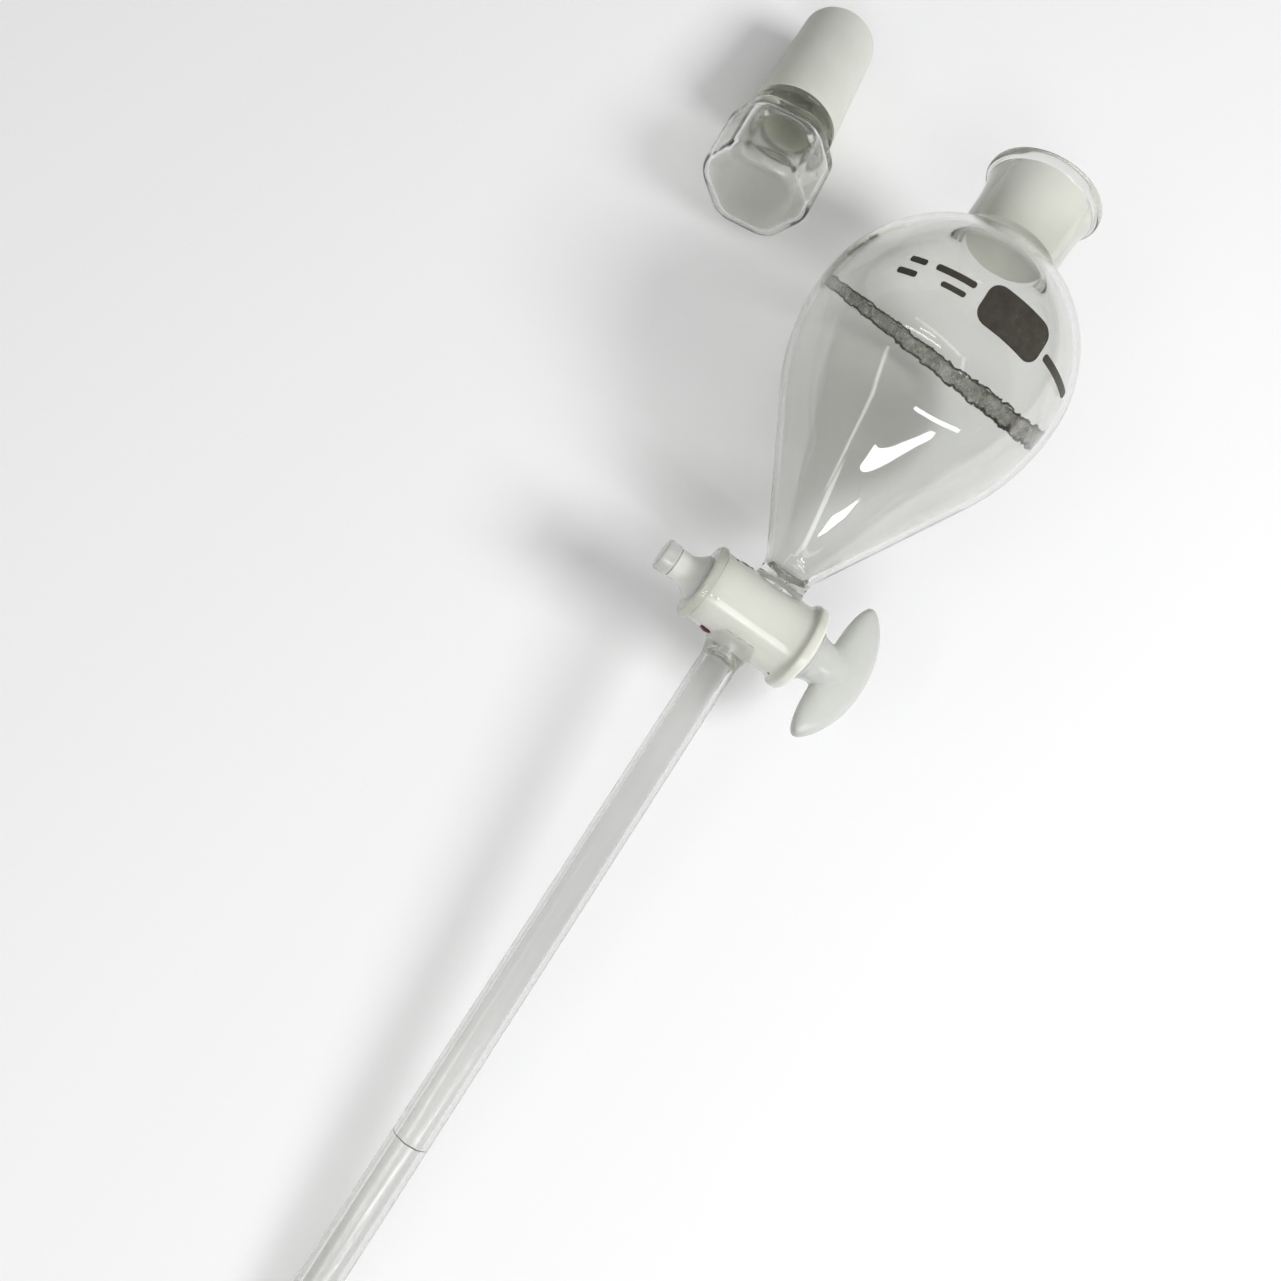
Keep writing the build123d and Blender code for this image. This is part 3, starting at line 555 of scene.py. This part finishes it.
def dark_band_skin():
    """The dark band on the inside of the bulb, in a plane that leans from the axis. It is a
    thin closed skin, widest on the handle side, that stands just clear of the glass."""
    narrow, extra = 2.7, 2.5
    gap, thickness = 0.06, 0.03
    top = (Vector((0, 0, 1)) - BULB_WAY * BULB_WAY.z).normalized()
    side = BULB_WAY.cross(top)
    lean = (side * 0.079 + top * 0.428 + BULB_WAY * 0.900).normalized()
    rows, columns = 14, 360
    first = (side - lean * side.dot(lean)).normalized()
    second = lean.cross(first)
    bm = bmesh.new()
    layer = bm.loops.layers.uv.new("band")
    grid = []
    for i in range(columns):
        a = 2 * pi * i / columns
        round_way = first * cos(a) + second * sin(a)
        widen = 0.5 + 0.5 * cos(a)
        half = radians(narrow + extra * widen)
        line = []
        for k in range(rows + 1):
            d = half * (2 * k / rows - 1)
            way = round_way * cos(d) + lean * sin(d)
            low, high = 10.0, 60.0
            for _ in range(30):
                middle = (low + high) / 2
                point = way * middle
                z = point.dot(BULB_WAY)
                r = (point - BULB_WAY * z).length
                if r < inner_r(EQUATOR + z) - gap:
                    low = middle
                else:
                    high = middle
            line.append(bm.verts.new(BULB_CENTRE + way * low * MM))
        grid.append(line)
    for i in range(columns):
        after = grid[(i + 1) % columns]
        for k in range(rows):
            face = bm.faces.new((grid[i][k], after[k], after[k + 1], grid[i][k + 1]))
            face.smooth = True
            places = ((i, k), (i + 1, k), (i + 1, k + 1), (i, k + 1))
            for loop, (u, v) in zip(face.loops, places):
                # u holds how heavy the band is: most on the handle side
                heavy = 0.5 + 0.5 * cos(2 * pi * u / columns)
                loop[layer].uv = (heavy, v / rows)
    bmesh.ops.solidify(bm, geom=bm.faces[:], thickness=thickness * MM)
    bmesh.ops.recalc_face_normals(bm, faces=bm.faces)
    add_object("dark_band_skin", to_mesh(bm, "dark_band_skin"), "funnel", [DARK_BAND])


def speck(name, foot, outward, long_way, length, width, height, material, seed):
    """A small crusted spot: a flattened, uneven dome sitting on a surface."""
    turn = basis(outward, long_way)
    bm = bmesh.new()
    rings, around = 5, 18
    top = bm.verts.new(foot + turn @ Vector((0, 0, height)) * MM)
    last = [top]
    for k in range(1, rings + 1):
        share = k / rings
        ring = []
        for i in range(around):
            a = 2 * pi * i / around
            ragged = 1 + 0.16 * sin(3 * a + seed) + 0.10 * sin(5 * a + 2.3 * seed)
            z = height * cos(share * pi / 2) - (0.12 if k == rings else 0)
            spot = Vector((length / 2 * share * ragged * cos(a), width / 2 * share * ragged * sin(a), z))
            ring.append(bm.verts.new(foot + turn @ spot * MM))
        for i in range(around):
            j = (i + 1) % around
            corners = list(dict.fromkeys([last[i % len(last)], ring[i], ring[j], last[j % len(last)]]))
            bm.faces.new(corners).smooth = True
        last = ring
    bm.faces.new(list(reversed(last)))
    bmesh.ops.recalc_face_normals(bm, faces=bm.faces)
    add_object(name, to_mesh(bm, name), "funnel", [material])


def on_barrel(x, angle):
    """A point on the barrel and the way out of it; angle in degrees from the top, towards the bulb."""
    a = radians(angle)
    top = BARREL_WAY.cross(STEM_WAY)
    out = top * cos(a) + STEM_WAY * sin(a)
    return STOPCOCK + (BARREL_WAY * x + out * barrel_r(x)) * MM, out


def stains():
    """The red stain and the dark dirt on the barrel, and two small raised spots near its small end painted
    near white as glints: painted highlights.
    """
    foot, out = on_barrel(-7.6, -84)
    speck("stain_red", foot, out, BARREL_WAY, 3.0, 2.8, 0.5, RED_STAIN, 0.6)
    dirt = ((-8.2, 68, 2.4, 0.9), (-6.6, 71, 1.1, 0.6), (-10.4, 62, 0.8, 0.6), (11.6, -70, 1.8, 0.7),
            (9.4, -76, 0.9, 0.5))
    for number, (x, angle, length, width) in enumerate(dirt):
        foot, out = on_barrel(x, angle)
        speck(f"dirt_{number + 1}", foot, out, BARREL_WAY, length, width, 0.2, DARK_DIRT, 1.7 * number)
    # two small raised spots painted near white by the bead: painted highlights standing in for its glints
    for number, (x, angle) in enumerate(((-12.0, -19.5), (-10.4, -18.0))):
        foot, out = on_barrel(x, angle)
        speck(f"painted_glint_{number + 1}", foot, out, BARREL_WAY, 0.8, 0.7, 0.2, PAINTED_GLINT, 0.4 + number)


def stem_hairline():
    """A fine dark line part of the way round the stem, just outside the glass."""
    station, half_width, reach = 131.5, 0.11, radians(80)
    thickness, r = 0.015, STEM_R + 0.02
    turn = basis(STEM_WAY, UPWARD)
    bm = bmesh.new()
    steps = 48
    rows = [[], []]
    for i in range(steps + 1):
        a = -reach + 2 * reach * i / steps
        ragged = 0.05 * sin(9 * a) + 0.03 * sin(23 * a)
        for row, sign in enumerate((-1, 1)):
            thin = half_width * (1 - 0.75 * (abs(a) / reach) ** 2)
            spot = Vector((r * cos(a), r * sin(a), -station + ragged + sign * thin))
            rows[row].append(bm.verts.new(STEM_FOOT + turn @ spot * MM))
    for i in range(steps):
        bm.faces.new((rows[0][i], rows[0][i + 1], rows[1][i + 1], rows[1][i])).smooth = True
    bmesh.ops.solidify(bm, geom=bm.faces[:], thickness=thickness * MM)
    bmesh.ops.recalc_face_normals(bm, faces=bm.faces)
    add_object("stem_hairline", to_mesh(bm, "stem_hairline"), "funnel", [DARK_DIRT])


# ---- Stopcock plug ------------------------------------------------------------------------------
def plug():
    """Ground cone, shank and button, turned in one piece, without the bore."""
    small, large = PLUG_ENDS
    back, front = BUTTON_ENDS
    outline = [(0, back)]
    outline += arc((BUTTON_R - 0.6, back + 0.6), 0.6, -pi / 2, 0, 5)
    outline += arc((BUTTON_R - 0.5, front - 0.5), 0.5, 0, pi / 2, 5)
    outline += [(SHANK_R, front + 0.3), (SHANK_R, small - 3.2)]
    button_end = len(outline) - 2
    outline += [(SHANK_R + 0.12, small - 2.6), (SHANK_R + 0.55, small - 1.7), (SHANK_R + 1.2, small - 0.8),
                (plug_r(small) - 0.25, small - 0.15), (plug_r(small), small + 0.15)]
    outline += [(plug_r(x), x) for x in (-8.0, 0.0, 8.0, large - 0.2)]
    outline += [(plug_r(large) - 0.25, large), (0, large)]
    slots = [0 if k < button_end else 1 for k in range(len(outline))]
    bm = bmesh.new()
    turned(bm, outline, STOPCOCK, BARREL_WAY, STEM_WAY, 96, slots, closed=False)
    piece = add_object("plug", to_mesh(bm, "plug", 60), "plug", [MILKY_GLASS, SHANK_FROST])
    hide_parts("plug_cone", "plug_shank", "plug_button")


def handle():
    """The bowed crossbar and its neck, melted into one another."""
    turn = basis(BARREL_WAY, STEM_WAY)
    bm = bmesh.new()
    root, root_r = PLUG_ENDS[1], plug_r(PLUG_ENDS[1])
    neck = [(0, root + 0.02), (root_r - 0.1, root + 0.02), (root_r - 0.5, root + 0.6),
            (HANDLE_NECK_R + 0.5, 16.3), (HANDLE_NECK_R, 18.0), (HANDLE_NECK_R, 20.0),
            (HANDLE_NECK_R - 0.8, 23.0), (HANDLE_NECK_R - 2.2, 25.5), (0, 26.5)]
    turned(bm, neck, STOPCOCK, BARREL_WAY, STEM_WAY, 64, closed=False)
    # sections across the bar: the outer edge bows out, the inner edge is nearly straight
    steps, around = 56, 40
    rings = []
    for i in range(steps + 1):
        share = -cos(pi * i / steps)
        along = HANDLE_HALF_LENGTH * share
        end = sqrt(max(1 - abs(share) ** 5, 0.0))
        outer = HANDLE_CREST - (HANDLE_CREST - HANDLE_TIP_CENTRE - HANDLE_TIP_R) * share ** 2
        inner = HANDLE_START + (HANDLE_TIP_CENTRE - HANDLE_TIP_R - HANDLE_START) * share ** 2
        middle, reach = (outer + inner) / 2, (outer - inner) / 2 * end
        thick = HANDLE_THICKNESS / 2 * (1 - 0.22 * share ** 2) * end
        if reach < 1e-4:
            rings.append([bm.verts.new(STOPCOCK + turn @ Vector((along, 0, middle)) * MM)])
            continue
        ring = []
        for k in range(around):
            a = 2 * pi * k / around
            x = (abs(cos(a)) ** 0.8) * (1 if cos(a) >= 0 else -1)
            y = (abs(sin(a)) ** 0.8) * (1 if sin(a) >= 0 else -1)
            ring.append(bm.verts.new(STOPCOCK + turn @ Vector((along, thick * y, middle + reach * x)) * MM))
        rings.append(ring)
    bar = []
    for low, high in zip(rings, rings[1:]):
        for k in range(around):
            j = (k + 1) % around
            corners = [low[k % len(low)], low[j % len(low)], high[j % len(high)], high[k % len(high)]]
            corners = list(dict.fromkeys(corners))
            if len(corners) > 2:
                face = bm.faces.new(corners)
                face.smooth = True
                bar.append(face)
    bmesh.ops.recalc_face_normals(bm, faces=bar)
    piece = add_object("plug_handle_glass", to_mesh(bm, "plug_handle_glass"), "plug",
                       [MILKY_GLASS])
    melt = piece.modifiers.new("melt", "REMESH")
    melt.mode = "VOXEL"
    melt.voxel_size = 0.30 * MM
    melt.use_smooth_shade = True
    soften = piece.modifiers.new("soften", "SMOOTH")
    soften.factor = 0.5
    soften.iterations = 14
    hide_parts("plug_neck", "plug_handle")


# ---- Stopper ------------------------------------------------------------------------------------
def six_sided(angle, apothem, corner):
    """Radius of a six-sided shape with rounded corners, against its half width."""
    sixth = pi / 3
    off = abs((angle + sixth / 2) % sixth - sixth / 2)
    if off < atan((apothem - corner) / apothem * tan(pi / 6)):
        return 1 / cos(off)
    centre = (apothem - corner) / cos(pi / 6)
    turn = pi / 6 - off
    return (centre * cos(turn) + sqrt(corner ** 2 - (centre * sin(turn)) ** 2)) / apothem


def stopper():
    """Hollow stopper: ground plug with a rounded end, waist, and a closed six-sided head."""
    half = HEAD_FLATS / 2
    inner_half = half - HEAD_WALL
    head_end = -WAIST_LENGTH - HEAD_LENGTH
    quarter = [pi / 2 * k / 12 for k in range(1, 13)]
    outline = [(0, STOPPER_LENGTH + STOPPER_DOME)]
    outline += [(STOPPER_TIP_R * sin(a) ** 0.8, STOPPER_LENGTH + STOPPER_DOME * cos(a)) for a in quarter]
    outline += [(STOPPER_R - TAPER * z, z) for z in (24.0, 16.0, 8.0, 1.0)]
    ground_end = len(outline) - 1
    outline += arc((STOPPER_R - 1.0, 0.0), 1.0, pi / 6, -pi / 3, 6)[1:]
    outline += [(WAIST_R + 0.5, -1.5), (WAIST_R, -2.4), (WAIST_R + 0.3, -3.3), (WAIST_FOOT_R - 0.8, -4.4)]
    round_end = len(outline) - 1
    outline += arc((half - HEAD_TOP_R, -HEAD_REST), HEAD_TOP_R, pi / 2.15, 0, 8)
    side = HEAD_LENGTH - HEAD_TOP_R - CAP_EDGE_R
    outline += [(half, -HEAD_REST - side * k / 4) for k in range(1, 5)]
    outline += arc((half - CAP_EDGE_R, head_end + CAP_EDGE_R), CAP_EDGE_R, 0, -pi / 2, 12)[1:]
    outline += [(half * 0.3, head_end), (0, head_end)]
    blend = [min(1.0, max(0.0, (k - round_end) / 6)) for k in range(len(outline))]

    def outer(angle, k):
        return 1 + blend[k] * (six_sided(angle, half, HEAD_CORNER_R) - 1)

    slots = [1 if k < ground_end else 0 for k in range(len(outline))]
    bm = bmesh.new()
    up = STOPPER_WAY.cross(Vector((0, 0, 1))).cross(STOPPER_WAY).normalized()
    turned(bm, outline, SHOULDER, STOPPER_WAY, up, 192, slots, closed=False, shape=outer)
    bore_r = STOPPER_R - STOPPER_WALL
    tip_bore_r = STOPPER_TIP_R - STOPPER_WALL
    cavity = [(0, STOPPER_LENGTH + STOPPER_DOME - STOPPER_WALL)]
    cavity += [(tip_bore_r * sin(a) ** 0.8, STOPPER_LENGTH + (STOPPER_DOME - STOPPER_WALL) * cos(a))
               for a in quarter]
    cavity += [(bore_r - TAPER * z, z) for z in (24.0, 16.0, 8.0, 2.5)]
    cavity += [(bore_r - 0.6, 1.2), (bore_r - 1.6, 0.0), (WAIST_BORE_R + 0.4, -1.2), (WAIST_BORE_R, -2.6),
               (WAIST_BORE_R, -4.6), (WAIST_BORE_R + 0.6, -6.1), (WAIST_BORE_R + 1.6, -6.7)]
    neck_end = len(cavity) - 1
    top_z = -WAIST_LENGTH - HEAD_WALL
    cavity += arc((inner_half - HEAD_TOP_R, top_z - HEAD_TOP_R), HEAD_TOP_R, pi / 2.1, 0, 8)
    end_r = CAP_EDGE_R - HEAD_WALL
    side = HEAD_LENGTH - 2 * HEAD_WALL - HEAD_TOP_R - end_r
    cavity += [(inner_half, top_z - HEAD_TOP_R - side * k / 3) for k in range(1, 4)]
    cavity += arc((inner_half - end_r, head_end + HEAD_WALL + end_r), end_r, 0, -pi / 2, 10)[1:]
    cavity += [(inner_half * 0.3, head_end + HEAD_WALL), (0, head_end + HEAD_WALL)]
    inner_blend = [min(1.0, max(0.0, (k - neck_end) / 6)) for k in range(len(cavity))]

    def inner(angle, k):
        return 1 + inner_blend[k] * (six_sided(angle, inner_half, HEAD_CORNER_R - HEAD_WALL) - 1)

    turned(bm, cavity, SHOULDER, STOPPER_WAY, up, 192, closed=False, inward=True, shape=inner)
    piece = add_object("stopper_body", to_mesh(bm, "stopper_body"), "stopper",
                       [STOPPER_GLASS, STOPPER_GROUND])
    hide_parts("stopper_tip", "stopper_ground", "stopper_waist", "stopper_head", "stopper_cap")


bulb_and_neck()
stem()
barrel()
dark_band_skin()
stains()
stem_hairline()
plug()
handle()
stopper()

for name, piece in frame["nodes"].items():
    if name.startswith("enamel"):
        for place in piece.material_slots:
            place.material = ENAMEL


# ---- Floor, light and camera --------------------------------------------------------------------
def floor():
    """A plain pale sheet under the funnel."""
    bm = bmesh.new()
    bmesh.ops.create_grid(bm, x_segments=2, y_segments=2, size=3.0)
    mesh = bpy.data.meshes.new("floor")
    bm.to_mesh(mesh)
    bm.free()
    material, tree = new_material("floor_paper")
    out = node(tree, "ShaderNodeOutputMaterial")
    paper = node(tree, "ShaderNodeBsdfPrincipled", Roughness=0.9)
    paper.inputs["Base Color"].default_value = (0.88, 0.88, 0.885, 1)
    tree.links.new(paper.outputs["BSDF"], out.inputs["Surface"])
    mesh.materials.append(material)
    plane = bpy.data.objects.new("floor", mesh)
    bpy.context.scene.collection.objects.link(plane)


def area_light(name, place, target, size, power):
    """A white rectangular lamp at place that faces target."""
    light = bpy.data.lights.new(name, "AREA")
    light.shape = "RECTANGLE"
    light.size, light.size_y = size
    light.energy = power
    lamp = bpy.data.objects.new(name, light)
    lamp.location = place
    lamp.rotation_euler = (Vector(target) - Vector(place)).to_track_quat("-Z", "Y").to_euler()
    bpy.context.scene.collection.objects.link(lamp)
    return lamp


def ceiling_strip(name, first, second, width, radiance):
    """A long bright panel between two points, facing down at the funnel. Thin walls of glass
    mirror it as a streak or a patch."""
    first, second = Vector(first), Vector(second)
    centre = (first + second) / 2
    length = (second - first).length
    lamp = area_light(name, centre, BULB_CENTRE, (length, width), radiance * pi * length * width)
    lamp.rotation_euler = basis((centre - BULB_CENTRE).normalized(), second - first).to_euler()


floor()
ceiling_strip("window_near", (-0.66, -0.18, 1.0), (-0.74, -1.30, 1.0), 0.05, 13.0)
ceiling_strip("window_middle", (-0.87, 0.05, 1.0), (-0.93, -0.95, 1.0), 0.04, 13.0)
ceiling_strip("window_far", (-1.05, -0.22, 1.0), (-1.09, -0.66, 1.0), 0.04, 22.0)
ceiling_strip("strip_side", (-0.21, 0.75, 1.0), (-0.96, 0.67, 1.0), 0.07, 4.0)
ceiling_strip("strip_end", (-0.97, 0.64, 1.0), (-1.40, -0.97, 1.0), 0.07, 4.0)
soft_side = area_light("soft_side", (0.10, -0.95, 0.80), (0.03, 0, 0), (0.5, 0.4), 11.5)
soft_side.visible_glossy = False
soft_side.visible_transmission = False

world = bpy.data.worlds.new("studio")
bpy.context.scene.world = world
world.use_nodes = True
sky = world.node_tree
way = node(sky, "ShaderNodeTexCoord")
split = node(sky, "ShaderNodeSeparateXYZ")
sky.links.new(way.outputs["Generated"], split.inputs["Vector"])
dome = ramp(sky, split.outputs["Z"], [(0.0, grey(0.28)), (0.25, grey(0.48)), (0.6, grey(0.75)),
                                      (1.0, grey(0.90))])
sky.links.new(dome.outputs["Color"], sky.nodes["Background"].inputs["Color"])
sky.nodes["Background"].inputs["Strength"].default_value = 0.50
bpy.context.scene.view_settings.view_transform = "Standard"

CAMERA_PLACE = Vector((-0.05491, -0.01335, 0.26279))
LOOK = Vector((0.2102, 0.0487, -0.9764))
PICTURE_RIGHT = Vector((0.5398, -0.8385, 0.0744))
FOCAL_SHARE = 0.8765
SENSOR_WIDTH = 36.0

camera_data = bpy.data.cameras.new("camera")
camera_data.sensor_width = SENSOR_WIDTH
camera_data.lens = SENSOR_WIDTH * FOCAL_SHARE
camera_data.clip_start = 0.005
camera = bpy.data.objects.new("camera", camera_data)
back = -LOOK.normalized()
right = (PICTURE_RIGHT - back * PICTURE_RIGHT.dot(back)).normalized()
turn = Matrix((right, back.cross(right), back)).transposed()
camera.matrix_world = Matrix.Translation(CAMERA_PLACE) @ turn.to_4x4()
bpy.context.scene.collection.objects.link(camera)
bpy.context.scene.camera = camera
